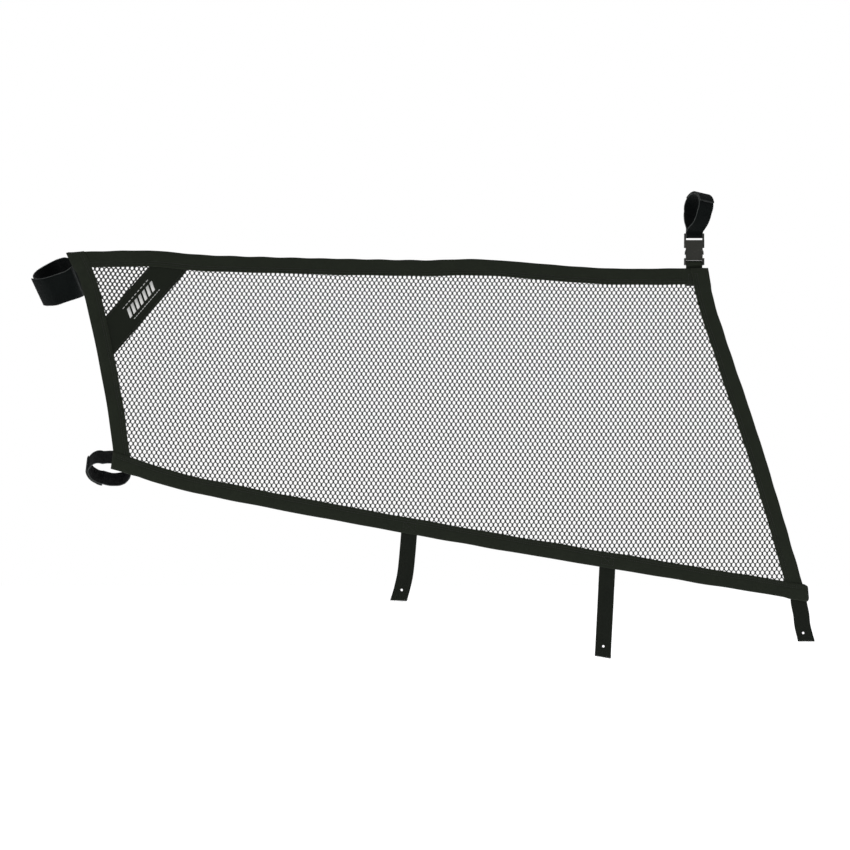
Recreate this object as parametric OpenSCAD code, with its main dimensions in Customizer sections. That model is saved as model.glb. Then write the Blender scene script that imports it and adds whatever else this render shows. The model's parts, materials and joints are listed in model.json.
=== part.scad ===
// Window net for the side opening of an off-road vehicle, hung as in use.
// +X runs to the rear of the opening, +Z is up and -Y faces the viewer. The origin is the axis
// of the tube that the front upper strap holds. Shapes are drawn from the net's front upper
// corner and moved to that origin by in_place().

/* [Net panel] */
// Length of the top edge
top_len = 1056; // [900:2:1200]
// Drop of the rear upper corner below the front upper corner
rear_upper_drop = 26; // [0:1:80]
// How far back the rear lower corner is
rear_lower_x = 1222; // [1150:2:1320]
// Drop of the rear lower corner
rear_lower_drop = 574; // [520:2:640]
// How far back the front lower corner is
front_lower_x = 76; // [60:1:100]
// Drop of the front lower corner
front_lower_drop = 357; // [330:1:400]
// Thickness of the coated mesh
net_t = 1.2; // [0.8:0.1:1.6]

/* [Binding and gusset] */
// Visible width of the folded edge binding
binding_w = 25.4; // [20:0.1:32]
// Thickness of one layer of webbing
web_t = 1.3; // [1:0.1:1.6]
// Depth that the mesh stops short of the binding's fold
fold_gap = 4; // [2:0.5:8]
// Width of the corner gusset
gusset_w = 50.8; // [40:0.2:60]
// Slope of the corner gusset
gusset_slope = 49; // [40:1:58]

/* [Hook-and-loop straps] */
// Width of the two front straps
strap_w = 50.8; // [40:0.2:60]
// Thickness of a strap with its pile
strap_t = 2.2; // [1.8:0.1:2.6]
// Thickness of the hook tails
tail_t = 1.9; // [1.5:0.1:2]
// Inner radius of the front upper loop
upper_r = 26; // [23:0.5:28]
// Lean of the front upper loop with the front binding
upper_lean = 20; // [12:1:24]
// Inner radius of the front lower loop's round end
lower_r = 16.8; // [14:0.2:18]
// Slope of the front lower loop's axis, far end up
lower_tilt = 22; // [10:1:26]
// Inner radius of the rear loop's round end
rear_r = 20.5; // [16:0.5:22]
// Turn of the rear loop about its neck
rear_turn = 35; // [0:1:40]
// Lean of the rear loop towards the rear
rear_lean = 9; // [0:1:12]

/* [Buckle] */
// Width of the anchor web and of the rear loop
web_w = 25.4; // [20:0.1:26]
// Width across the socket's frame and the plug's ears
buckle_w = 32.6; // [32:0.1:36]
// Thickness of the buckle
buckle_t = 9; // [8:0.2:10]
// Radius of the plug's bar
plug_bar_r = 1.8; // [1.5:0.1:2]
// Radius of the socket's bar
socket_bar_r = 2; // [1.6:0.1:2.2]

/* [Tabs] */
// Width of the bottom tabs
tab_w = 25.4; // [20:0.2:30]
// Radius of the fixing holes
hole_r = 2.5; // [2:0.1:3]

/* [Hidden] */
$fn = 96;
web_colour = [0.12, 0.13, 0.11];
strap_colour = [0.09, 0.1, 0.11];
plastic_colour = [0.2, 0.19, 0.17];
cut = 200;                       // long enough to cut right through anything
gap = 0.3;                       // play between pieces that move
run = 0.05;                      // radial play of a web or strap on its bar

// Edge bows, each as [share of the edge's length, bulge outward]
top_bow = [[0.13, 6], [0.24, 0.5], [0.54, 1], [0.65, 5], [0.84, -4.5]];
rear_bow = [[0.14, -4.5], [0.55, 1.5]];
bottom_bow = [[0.18, 5.5], [0.53, 13.5], [0.87, 13.5]];
front_bow = [[0.34, -12.5], [0.81, -13]];

function outward(d) = [-d.y, d.x] / norm(d);
function bowed(a, b, bows) = [for (p = bows) a + (b - a) * p.x + p.y * outward(b - a)];
upper_front = [0, 0];
upper_rear = [top_len, -rear_upper_drop];
lower_rear = [rear_lower_x, -rear_lower_drop];
lower_front = [front_lower_x, -front_lower_drop];
outline = concat([upper_front], bowed(upper_front, upper_rear, top_bow), [upper_rear],
    bowed(upper_rear, lower_rear, rear_bow), [lower_rear],
    bowed(lower_rear, lower_front, bottom_bow), [lower_front],
    bowed(lower_front, upper_front, front_bow));
corners = len(outline);
i_rear = 1 + len(top_bow);                   // where the rear edge starts
i_bottom = i_rear + 1 + len(rear_bow);
i_front = i_bottom + 1 + len(bottom_bow);

// The outline moved inward by w, with mitred corners
function inset(pts, w) = [for (i = [0 : len(pts) - 1])
    let (n = len(pts), a = outward(pts[i] - pts[(i + n - 1) % n]),
         b = outward(pts[(i + 1) % n] - pts[i]))
    pts[i] - w * (a + b) / (1 + a * b)];
inner = inset(outline, binding_w);

face = net_t / 2 + web_t;                    // front and back faces of the bindings
strap_back = face + strap_t;                 // where the front upper loop's near flank starts
upper_reach = 71;                            // tube axis to the seam
upper_hinge = 39;                            // tail's hinge, measured along the near flank
tube_axis = [-24, strap_back + upper_r + strap_t, -57];
lower_near = [51, 13, -367];                 // round end of the lower loop, at its near rim
lower_reach = 52;
lower_yaw = 7;
buckle_x = 1036;
plug_bar_z = -18.3;
base_top = -9.3;                             // top of the plug's base
socket_low = -9;                             // mouth of the socket
shoulder_z = 8;                              // under the socket's wide frame
socket_top = 20.5;                           // top of the socket's body
socket_bar_z = 29;
rear_reach = 50;                             // socket's bar to the centre of the rear loop
rear_neck = 5.5;                             // height over the bar where the loop turns
cavity = [23, 5];                            // inside of the socket
anchor_end = -55;
hinge_drop = 1;                              // tab hinges below the binding's edge

module in_place() { translate(-tube_axis) children(); }

// An upright sheet of thickness t with its front at y = front, from an outline in x and z
module sheet(front, t) {
    translate([0, front + t, 0]) rotate([90, 0, 0]) linear_extrude(t) children();
}

// A strip of width w along the line pts
module strip(pts, w) {
    left = [for (i = [0 : len(pts) - 1]) side_point(pts, i, w / 2)];
    right = [for (i = [len(pts) - 1 : -1 : 0]) side_point(pts, i, -w / 2)];
    polygon(concat(left, right));
}
function side_point(pts, i, w) =
    let (last = len(pts) - 1,
         a = outward(pts[max(i, 1)] - pts[max(i, 1) - 1]),
         b = outward(pts[min(i + 1, last)] - pts[min(i, last - 1)]))
    pts[i] + w * (a + b) / (1 + a * b);

// ---- net panel ----
module mesh_panel() {
    color([0.35, 0.35, 0.35]) in_place() sheet(-net_t / 2, net_t) polygon(inset(outline, fold_gap));
}

// Corners i to j of a closed outline, as an open line, and the same line with longer ends
function stretch(pts, i, j) = [for (k = [i : j]) pts[k % len(pts)]];
function longer(pts, by) =
    let (last = len(pts) - 1, a = pts[0] - pts[1], b = pts[last] - pts[last - 1])
    [for (k = [0 : last]) pts[k] + (k == 0 ? by * a / norm(a) : k == last ? by * b / norm(b) : [0, 0])];
function reversed(pts) = [for (k = [len(pts) - 1 : -1 : 0]) pts[k]];

// One folded webbing from corner i to corner j of the outline, with the mesh's slot in it
module binding(i, j) {
    fold = longer(stretch(inset(outline, fold_gap), i, j), 5);
    deep = longer(stretch(inset(outline, binding_w + 1), i, j), 60);
    color(web_colour) in_place() difference() {
        sheet(-face, 2 * face)
            polygon(concat(stretch(outline, i, j), reversed(stretch(inner, i, j))));
        sheet(-net_t / 2, net_t) polygon(concat(fold, reversed(deep)));
    }
}
module top_binding() { binding(0, i_rear); }
module rear_binding() { binding(i_rear, i_bottom); }
module bottom_binding() { binding(i_bottom, i_front); }
module front_binding() { binding(i_front, corners); }

module corner_gusset() {
    color(web_colour) in_place() sheet(-face, web_t) intersection() {
        polygon(inner);
        translate([121, -80]) rotate(gusset_slope) square([300, gusset_w], center = true);
    }
}

// ---- straps ----
// Section of a strap loop: a round end about the origin, with two flanks that meet on +X
module loop_section(r, reach) {
    lap = 1;                                 // of the flanks over the round end
    mid = r + strap_t / 2;
    half = asin(mid / reach);
    wide = 2 * (r + strap_t);
    difference() {
        circle(r + strap_t);
        circle(r);
        polygon([[0, 0], wide * [sin(half), -cos(half)], [wide, 0], wide * [sin(half), cos(half)]]);
    }
    for (s = [-1, 1]) translate(mid * [sin(half), s * cos(half)]) rotate(-s * half)
        translate([-lap, -strap_t / 2]) square([reach * cos(half) + lap, strap_t]);
}

// Part of a ring of thickness t outside radius r, from angle a to angle b
module arc_band(r, t, a, b) {
    wide = 3 * (r + t);
    steps = ceil((b - a) / 60);
    difference() {
        intersection() {
            circle(r + t);
            polygon(concat([[0, 0]],
                [for (k = [0 : steps]) let (w = a + (b - a) * k / steps) wide * [cos(w), sin(w)]]));
        }
        circle(r);
    }
}

// Local axes of the front upper loop: x along its near flank, y to the back, z across the strap
module upper_place() { rotate([0, -upper_lean, 0]) children(); }
upper_half = asin((upper_r + strap_t / 2) / upper_reach);

module front_upper_strap() {
    color(strap_colour) upper_place() {
        translate([0, 0, -strap_w / 2]) rotate(-upper_half) linear_extrude(strap_w)
            loop_section(upper_r, upper_reach);
        translate([upper_hinge + 3, face - tube_axis.y, -strap_w / 2])
            cube([upper_reach * cos(upper_half) - upper_hinge - 3, strap_t + 0.1, strap_w]);
    }
}

module front_upper_tail() {
    outer = upper_r + strap_t;
    color(strap_colour) upper_place() translate([0, 0, -strap_w / 2]) linear_extrude(strap_w) {
        translate([0, -outer - gap - tail_t]) square([upper_hinge, tail_t]);
        arc_band(outer + gap, tail_t, 205, 270);
    }
}

// Local axes of the front lower loop: x to its seam, z across the strap and to the back
module lower_place() {
    translate(lower_near) rotate([0, 0, lower_yaw]) rotate([lower_tilt - 90, 0, 0]) children();
}

// The sewn end: flat on the back of the corner, then a doubled neck that runs to the loop's seam
module front_lower_root() {
    neck_gap = 2;                            // room for the loop to swing
    color(strap_colour) in_place() {
        sheet(face, strap_t) intersection() {
            polygon(outline);
            translate([81, -366]) square([30, 44]);
        }
        translate(lower_near) rotate([0, 0, lower_yaw]) translate([lower_reach + neck_gap, 0, 0])
            rotate([90, 0, 90]) linear_extrude(2 * strap_t)
                polygon([[-16, 5], [-16, 43], [48, 21], [47, 17], [0, -1]]);
    }
}

module front_lower_strap() {
    color(strap_colour) in_place() lower_place() linear_extrude(strap_w)
        loop_section(lower_r, lower_reach);
}

module front_lower_tail() {
    color(strap_colour) in_place() lower_place() linear_extrude(strap_w)
        arc_band(lower_r + strap_t + gap, tail_t, 75, 200);
}

// ---- rear loop and its buckle ----
// Local axes on a bar that runs along X: x down, y to the back, z to the front end of the bar
module on_bar(z) {
    in_place() translate([buckle_x, face + web_t, z]) rotate([0, 90, 0]) children();
}

module anchor_web() {
    eye = plug_bar_r + run;
    color(web_colour) on_bar(plug_bar_z) translate([0, 0, -web_w / 2]) linear_extrude(web_w)
        difference() {
            union() {
                circle(eye + web_t);
                translate([0, -web_t]) square([plug_bar_z - anchor_end, 2 * web_t]);
            }
            circle(eye);
        }
}

// Local axes of the buckle: x along its bars, y to the back, z up, from the corner's height
module buckle_place() { in_place() translate([buckle_x, face + web_t, 0]) children(); }

module buckle_plug() {
    ear = 2.6;
    color(plastic_colour) buckle_place() {
        difference() {
            translate([-buckle_w / 2, -buckle_t / 2, plug_bar_z - 2.2])
                cube([buckle_w, buckle_t, base_top - plug_bar_z + 2.2]);
            translate([ear - buckle_w / 2, -cut / 2, plug_bar_z - 10])
                cube([buckle_w - 2 * ear, cut, 15.7]);
            for (s = [-1, 1]) translate([s * 9.2 - 2.1, -2.6, base_top - 5])
                cube([4.2, 5.2, 10]);
        }
        translate([-buckle_w / 2 + 1, 0, plug_bar_z]) rotate([0, 90, 0])
            cylinder(r = plug_bar_r, h = buckle_w - 2);
        translate([-1.4, -2.1, base_top - 1]) cube([2.8, 4.2, 24]);
    }
}

// One latch arm, drawn for the rear side, with its button in the socket's window
module latch_arm() {
    color(plastic_colour) translate([0, 2.1, 0]) rotate([90, 0, 0]) linear_extrude(4.2)
        polygon([[7.6, -11.8], [10.8, -11.8], [11, socket_low + 5.4], [15.6, socket_low + 5.9],
            [15.2, 2], [12.6, shoulder_z - 0.4], [11.1, shoulder_z - 0.4], [10.9, shoulder_z + 1],
            [10.6, 14.5], [8.6, 15], [8, 6]]);
}
module latch_arm_rear() { buckle_place() latch_arm(); }
module latch_arm_front() { buckle_place() mirror([1, 0, 0]) latch_arm(); }

module buckle_socket() {
    rail = 2.6;
    body_w = 27;
    color(plastic_colour) buckle_place() {
        difference() {
            union() {
                translate([-body_w / 2, -buckle_t / 2, socket_low])
                    cube([body_w, buckle_t, socket_top - socket_low]);
                translate([-buckle_w / 2, -buckle_t / 2, shoulder_z])
                    cube([buckle_w, buckle_t, socket_top - shoulder_z]);
            }
            translate([-cavity.x / 2, -cavity.y / 2, socket_low - 1])
                cube([cavity.x, cavity.y, 26]);
            translate([-cut / 2, -cavity.y / 2, socket_low + 5])
                cube([cut, cavity.y, shoulder_z - socket_low - 5]);
        }
        for (s = [-1, 1]) translate([s * (buckle_w - rail) / 2 - rail / 2, -3, socket_top - 0.5])
            cube([rail, 6, socket_bar_z - socket_top + 3]);
        translate([-buckle_w / 2 + 1, 0, socket_bar_z]) rotate([0, 90, 0])
            cylinder(r = socket_bar_r, h = buckle_w - 2);
    }
}

// Local axes of the rear loop, turned and leaning over its bar: x down its length, z across it
module rear_place() {
    in_place() translate([buckle_x, face + web_t, socket_bar_z]) rotate([0, rear_lean, 0])
        rotate([0, 0, rear_turn]) rotate([0, 90, 0]) translate([-rear_reach, 0, -web_w / 2])
            children();
}

module rear_loop_strap() {
    eye = socket_bar_r + run;
    color(strap_colour) {
        on_bar(socket_bar_z) translate([0, 0, -web_w / 2]) linear_extrude(web_w) difference() {
            union() {
                circle(eye + strap_t);
                translate([-rear_neck - 2, -strap_t]) square([rear_neck + 2, 2 * strap_t]);
            }
            circle(eye);
        }
        difference() {
            rear_place() linear_extrude(web_w) loop_section(rear_r, rear_reach);
            on_bar(socket_bar_z + rear_neck) translate([0, -cut / 2, -cut / 2]) cube(cut);
        }
    }
}

module rear_loop_tail() {
    color(strap_colour) rear_place() linear_extrude(web_w)
        arc_band(rear_r + strap_t + gap, tail_t, 125, 245);
}

// ---- tabs along the bottom ----
// Centre line of each tab below the binding, the place of its hole and the slant of its cut end
tab_front_line = [[566, -456], [560, -533], [549, -574]];
tab_middle_line = [[893, -512], [885, -668]];
tab_rear_line = [[1208.5, -570.5], [1213.5, -612], [1220, -641]];
tab_front_hole = [553, -557];
tab_middle_hole = [886, -650];
tab_rear_hole = [1216, -628];

module tab_root(line) {
    color(web_colour) in_place() sheet(face, web_t) intersection() {
        polygon(outline);
        translate(line[0] - [tab_w / 2, 14]) square([tab_w, 27 + max(0, -line[0].y - 564)]);
    }
}

module tab(line, hole) {
    color(web_colour) in_place() difference() {
        sheet(face, web_t) difference() {
            strip(line, tab_w);
            polygon(inset(outline, -hinge_drop));
        }
        translate([hole.x, face - 1, hole.y]) rotate([-90, 0, 0]) cylinder(r = hole_r, h = 5);
    }
}
module tab_front_root() { tab_root(tab_front_line); }
module tab_middle_root() { tab_root(tab_middle_line); }
module tab_rear_root() { tab_root(tab_rear_line); }
module tab_front() { tab(tab_front_line, tab_front_hole); }
module tab_middle() { tab(tab_middle_line, tab_middle_hole); }
module tab_rear() { tab(tab_rear_line, tab_rear_hole); }

mesh_panel();
top_binding();
rear_binding();
bottom_binding();
front_binding();
corner_gusset();
front_upper_strap();
front_upper_tail();
front_lower_root();
front_lower_strap();
front_lower_tail();
anchor_web();
buckle_plug();
latch_arm_front();
latch_arm_rear();
buckle_socket();
rear_loop_strap();
rear_loop_tail();
tab_front_root();
tab_front();
tab_middle_root();
tab_middle();
tab_rear_root();
tab_rear();
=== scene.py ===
"""Looks of the side window net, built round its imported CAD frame.

Shapes are drawn in millimetres from the net's front upper corner, as in the CAD source: x to the
rear, y to the back, z up. metres() puts them in the part's own frame.
"""
import json
import math
import random

import bmesh
import bpy
import numpy as np
from mathutils import Matrix, Vector


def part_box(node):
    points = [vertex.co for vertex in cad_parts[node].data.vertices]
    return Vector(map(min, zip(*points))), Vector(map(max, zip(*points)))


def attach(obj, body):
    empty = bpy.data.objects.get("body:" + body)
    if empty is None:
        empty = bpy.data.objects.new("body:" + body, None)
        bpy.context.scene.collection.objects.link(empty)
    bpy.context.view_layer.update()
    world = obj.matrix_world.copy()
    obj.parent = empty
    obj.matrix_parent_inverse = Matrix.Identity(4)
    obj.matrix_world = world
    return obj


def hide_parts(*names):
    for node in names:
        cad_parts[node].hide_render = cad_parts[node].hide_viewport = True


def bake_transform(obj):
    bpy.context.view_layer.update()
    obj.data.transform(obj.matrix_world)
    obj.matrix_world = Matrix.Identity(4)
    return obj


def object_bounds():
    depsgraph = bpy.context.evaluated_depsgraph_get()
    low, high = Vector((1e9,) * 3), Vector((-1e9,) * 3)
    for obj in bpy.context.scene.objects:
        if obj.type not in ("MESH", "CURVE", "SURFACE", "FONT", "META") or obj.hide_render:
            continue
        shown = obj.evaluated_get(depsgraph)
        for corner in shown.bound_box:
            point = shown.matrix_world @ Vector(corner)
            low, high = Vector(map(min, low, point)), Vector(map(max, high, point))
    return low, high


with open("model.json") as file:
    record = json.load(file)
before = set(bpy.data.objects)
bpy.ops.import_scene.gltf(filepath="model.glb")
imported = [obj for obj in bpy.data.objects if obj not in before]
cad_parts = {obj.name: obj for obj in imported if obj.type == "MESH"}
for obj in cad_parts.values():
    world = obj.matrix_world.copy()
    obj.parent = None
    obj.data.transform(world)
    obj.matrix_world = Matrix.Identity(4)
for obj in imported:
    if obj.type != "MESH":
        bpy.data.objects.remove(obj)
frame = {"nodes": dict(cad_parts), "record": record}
cad_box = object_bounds()


def node_mm(node):
    low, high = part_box(node)
    return np.array(low) * 1000, np.array(high) * 1000


net_low, net_high = node_mm("mesh_panel")
front_low, front_high = node_mm("front_binding")
CORNER = np.array([front_low[0], (net_low[1] + net_high[1]) / 2, front_high[2]])


def metres(points):
    return (np.asarray(points, float) + CORNER) / 1000


def local_mm(point_m):
    """A point of the part's frame, in metres, as millimetres from the corner."""
    return np.array(point_m, float) * 1000 - CORNER


# ---------------------------------------------------------------- camera, light and floor
VIEW_WIDTH = 1402.5  # of the picture, at the net's plane
VIEW_CENTRE = np.array([591.5, 0, -284.6])
VIEW_DISTANCE = 3200
SENSOR = 36
FLOOR_DROP = 260  # below the lowest tab


def new_object(name, data):
    obj = bpy.data.objects.new(name, data)
    bpy.context.scene.collection.objects.link(obj)
    return obj


bpy.context.scene.view_settings.view_transform = "Standard"
camera = new_object("camera", bpy.data.cameras.new("camera"))
camera.data.sensor_width = SENSOR
camera.data.lens = SENSOR * VIEW_DISTANCE / VIEW_WIDTH
camera.location = metres(VIEW_CENTRE - [0, VIEW_DISTANCE, 0])
camera.rotation_euler = (math.radians(90), 0, 0)
bpy.context.scene.camera = camera


def area_light(name, place, size, power):
    data = bpy.data.lights.new(name, "AREA")
    data.shape, data.size, data.size_y = "RECTANGLE", size[0], size[1]
    data.energy = power
    light = new_object(name, data)
    light.location = place
    aim = Vector(metres(VIEW_CENTRE)) - light.location
    light.rotation_euler = aim.to_track_quat("-Z", "Y").to_euler()


area_light("key", (-1.4, -2.6, 1.5), (1.6, 1.6), 20)
area_light("fill", (3.0, -2.4, 0.6), (1.8, 1.8), 9.5)
area_light("top", (0.6, -0.3, 2.4), (3.0, 2.0), 20)
area_light("back", (0.4, 2.8, 1.2), (2.4, 1.6), 16)

world = bpy.data.worlds.new("studio")
bpy.context.scene.world = world
world.use_nodes = True
sky = world.node_tree.nodes
links = world.node_tree.links
sky.clear()
seen, lit, mixed, ray, sky_out = (sky.new("ShaderNode" + kind) for kind in (
    "Background", "Background", "MixShader", "LightPath", "OutputWorld"))
for background, colour, strength in ((seen, (1, 1, 1, 1), 1.0), (lit, (0.93, 0.96, 1, 1), 0.17)):
    background.inputs["Color"].default_value = colour
    background.inputs["Strength"].default_value = strength
links.new(ray.outputs["Is Camera Ray"], mixed.inputs[0])
links.new(lit.outputs[0], mixed.inputs[1])
links.new(seen.outputs[0], mixed.inputs[2])
links.new(mixed.outputs[0], sky_out.inputs["Surface"])


# ---------------------------------------------------------------- materials
class Nodes:
    """A material's node tree, with short ways to add to it."""

    def __init__(self, name, rough, spec=0.3, sheen=0.0):
        self.mat = bpy.data.materials.new(name)
        self.mat.use_nodes = True
        self.tree = self.mat.node_tree
        self.bsdf = self.tree.nodes["Principled BSDF"]
        self.bsdf.inputs["Roughness"].default_value = rough
        self.bsdf.inputs["Specular IOR Level"].default_value = spec
        self.bsdf.inputs["Sheen Weight"].default_value = sheen
        self.bsdf.inputs["Sheen Roughness"].default_value = 0.5

    def add(self, kind, values=(), **settings):
        node = self.tree.nodes.new("ShaderNode" + kind)
        for key, value in settings.items():
            setattr(node, key, value)
        for key, value in dict(values).items():
            if hasattr(value, "is_linked"):
                self.tree.links.new(value, node.inputs[key])
            else:
                node.inputs[key].default_value = value
        return node

    def math(self, operation, a, b=0.0, clamp=False):
        return self.add("Math", {0: a, 1: b}, operation=operation, use_clamp=clamp).outputs[0]

    def times(self, a, b, clamp=False):
        return self.math("MULTIPLY", a, b, clamp)

    def plus(self, a, b, clamp=False):
        return self.math("ADD", a, b, clamp)

    def noise(self, vector, scale, detail=2.0, rough=0.5):
        return self.add("TexNoise", {"Vector": vector, "Scale": scale, "Detail": detail,
                                     "Roughness": rough}).outputs["Fac"]

    def mix(self, share, a, b):
        """Between two colours, each a tuple or another node's output."""
        a, b = ((*c, 1) if isinstance(c, tuple) else c for c in (a, b))
        return self.add("Mix", {0: share, 6: a, 7: b}, data_type="RGBA").outputs[2]

    def link(self, out, name):
        self.tree.links.new(out, self.bsdf.inputs[name])

    def colour(self, share, a, b):
        self.link(self.mix(share, a, b), "Base Color")

    def rough(self, varying, much, least):
        self.link(self.plus(self.times(varying, much), least), "Roughness")

    def edge_wear_and_sheen(self, fuzzy, extra, shade, dark, light, edge):
        """Between two shades, and paler at the edges, which are worn and carry a painted sheen."""
        # paler at the edges: worn fibre, with a painted sheen along the rims
        wear_and_sheen_share = self.times(self.attribute("edge"), self.plus(fuzzy, extra), clamp=True)
        self.colour(wear_and_sheen_share, self.mix(shade, dark, light), edge)

    def bump(self, height, distance, strength=1.0):
        node = self.add("Bump", {"Height": height, "Distance": distance, "Strength": strength})
        self.link(node.outputs[0], "Normal")

    def place(self):
        return self.add("TexCoord").outputs["Object"]

    def along_and_across(self):
        """Millimetres along and across a strap, from its unwrapping."""
        split = self.add("SeparateXYZ", {0: self.add("UVMap", uv_map="strap").outputs[0]})
        return split.outputs[0], split.outputs[1]

    def attribute(self, name):
        return self.add("Attribute", attribute_name=name).outputs["Fac"]


def webbing_material(name, dark, light, edge, warp=1.25, weft=1.7):
    """Plain-woven webbing: yarns under and over each other, with a paler selvedge, worn and with a
    painted sheen.
    """
    n = Nodes(name, 0.78, 0.14, 0.03)
    along, across = n.along_and_across()
    a = n.math("SINE", n.times(along, math.pi / weft))
    b = n.math("SINE", n.times(across, math.pi / warp))
    yarn = n.math("POWER", n.math("ABSOLUTE", n.times(a, b)), 0.55)
    place = n.place()
    fibre = n.noise(place, 1900, 3)
    cloudy = n.noise(place, 38, 3)
    n.bump(n.plus(yarn, n.times(fibre, 0.22)), 0.00035, 0.9)
    shade = n.plus(n.times(yarn, 0.62), n.times(cloudy, 0.45), clamp=True)
    n.edge_wear_and_sheen(fibre, 0.25, shade, dark, light, edge)
    n.rough(cloudy, 0.18, 0.64)
    return n.mat


def pile_material(name, dark, light, edge):
    """Hook-and-loop strap: a short, matted pile over fine ribs, with a pale fuzzy rim that is
    partly painted sheen.
    """
    n = Nodes(name, 0.95, 0.05, 0.06)
    along, across = n.along_and_across()
    place = n.place()
    ribs = n.times(n.math("SINE", n.times(across, math.pi / 1.1)),
                   n.math("SINE", n.times(along, math.pi / 0.9)))
    pile = n.noise(place, 1500, 4, 0.7)
    matted = n.noise(place, 210, 3, 0.6)
    cloudy = n.noise(place, 33, 3)
    height = n.plus(n.plus(n.times(pile, 0.8), n.times(matted, 1.2)), n.times(ribs, 0.18))
    n.bump(height, 0.0007, 0.9)
    shade = n.plus(n.times(pile, 0.5), n.times(cloudy, 0.6), clamp=True)
    n.edge_wear_and_sheen(matted, 0.35, shade, dark, light, edge)
    return n.mat


def coated_mesh_material():
    """Yarns dipped in vinyl."""
    n = Nodes("coated_mesh", 0.5, 0.32)
    place = n.place()
    dip = n.noise(place, 420, 3)
    n.bump(dip, 0.0002, 0.8)
    n.colour(n.noise(place, 9, 3), (0.014, 0.016, 0.014), (0.032, 0.034, 0.031))
    n.rough(dip, 0.25, 0.36)
    return n.mat


def thread_material(name, dark, light):
    n = Nodes(name, 0.6, 0.3, 0.05)
    twist = n.add("TexWave", {"Vector": n.place(), "Scale": 900.0, "Distortion": 1.5})
    n.bump(twist.outputs["Fac"], 0.00012, 0.8)
    n.colour(twist.outputs["Fac"], dark, light)
    return n.mat


def plastic_material():
    """Moulded plastic with a fine grain and small pale scuffs."""
    n = Nodes("moulded_plastic", 0.45, 0.4)
    place = n.place()
    grain = n.noise(place, 2600, 3, 0.6)
    scuff = n.times(n.math("GREATER_THAN", n.noise(place, 320, 4, 0.7), 0.64), 0.5)
    n.bump(grain, 0.00008, 0.7)
    body = n.mix(n.noise(place, 60, 3), (0.017, 0.017, 0.0135), (0.028, 0.0275, 0.022))
    n.colour(scuff, body, (0.075, 0.07, 0.06))
    n.rough(grain, 0.2, 0.38)
    return n.mat


def plain_material(name, rough, spec, noise, bump, dark, light):
    """One noise (scale, detail, roughness) for both the colour and the bump."""
    n = Nodes(name, rough, spec)
    uneven = n.noise(n.place(), *noise)
    n.bump(uneven, *bump)
    n.colour(uneven, dark, light)
    return n


# the third colour of each webbing and pile is its paler edge: worn, with a painted sheen
WEB = webbing_material("border_webbing", (0.0042, 0.0062, 0.0032), (0.020, 0.0255, 0.0155),
                       (0.034, 0.038, 0.028))
GUSSET_WEB = webbing_material("gusset_webbing", (0.0022, 0.0036, 0.0018),
                              (0.0125, 0.0165, 0.0095), (0.03, 0.034, 0.025))
TAB_WEB = webbing_material("tab_webbing", (0.0026, 0.0038, 0.0022), (0.0105, 0.0138, 0.0085),
                           (0.06, 0.06, 0.052), 1.1, 1.5)
PILE = pile_material("strap_pile", (0.0009, 0.0016, 0.0015), (0.0052, 0.0072, 0.0068),
                     (0.07, 0.075, 0.073))
MESH = coated_mesh_material()
FIBRE = thread_material("loose_fibre", (0.02, 0.022, 0.021), (0.11, 0.115, 0.11))
THREAD = thread_material("black_thread", (0.006, 0.006, 0.006), (0.03, 0.03, 0.028))
PLASTIC = plastic_material()
INK = plain_material("printed_ink", 0.7, 0.25, (900, 4, 0.7), (0.00015, 0.6),
                     (0.52, 0.52, 0.5), (0.86, 0.86, 0.84)).mat
MELTED = plain_material("melted_rim", 0.35, 0.45, (900, 3), (0.0003, 0.8),
                        (0.012, 0.012, 0.011), (0.06, 0.058, 0.052)).mat


# ---------------------------------------------------------------- shapes
def smooth(x):
    x = np.clip(x, 0, 1)
    return x * x * (3 - 2 * x)


def unit(v):
    v = np.asarray(v, float)
    return v / np.maximum(np.linalg.norm(v, axis=-1, keepdims=True), 1e-9)


def grid_of(x, y, z):
    """Points from their x, y and z, which may be single numbers, rows or columns."""
    return np.stack(np.broadcast_arrays(x, y, z), -1)


def wobble(x, seed, wavelength, waves=4):
    """Smooth, repeatable noise of about -1 to 1."""
    source = random.Random(seed)
    total = 0
    for k in range(waves):
        step = 2 * math.pi / wavelength * (0.5 + source.random() * 1.4)
        total = total + np.sin(x * step + source.random() * 6.28) / waves * 1.6
    return total


def run_along(line):
    """Distance along a line of points, at each of them."""
    return np.concatenate([[0], np.cumsum(np.linalg.norm(np.diff(line, axis=0), axis=1))])


def point_at(line, run, distance):
    return np.array([np.interp(distance, run, line[:, k]) for k in range(3)])


def add_mesh(name, points, faces, material, uv=None, edge=None):
    """A mesh object from points in millimetres and its faces. uv unwraps a strap in millimetres,
    and edge marks the points that are worn pale."""
    mesh = bpy.data.meshes.new(name)
    mesh.from_pydata(metres(points).tolist(), [], faces)
    mesh.materials.append(material)
    mesh.polygons.foreach_set("use_smooth", np.ones(len(mesh.polygons), bool))
    if uv is not None:
        layer = mesh.uv_layers.new(name="strap")
        corners = np.empty(len(mesh.loops), np.int32)
        mesh.loops.foreach_get("vertex_index", corners)
        layer.data.foreach_set("uv", np.asarray(uv, np.float32)[corners].ravel())
    if edge is not None:
        attribute = mesh.attributes.new("edge", "FLOAT", "POINT")
        attribute.data.foreach_set("value", np.asarray(edge, np.float32))
    mesh.validate()
    return new_object(name, mesh)


def normals_of(mid):
    """Unit normals of a grid of points."""
    return unit(np.cross(np.gradient(mid, axis=0), np.gradient(mid, axis=1)))


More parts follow.
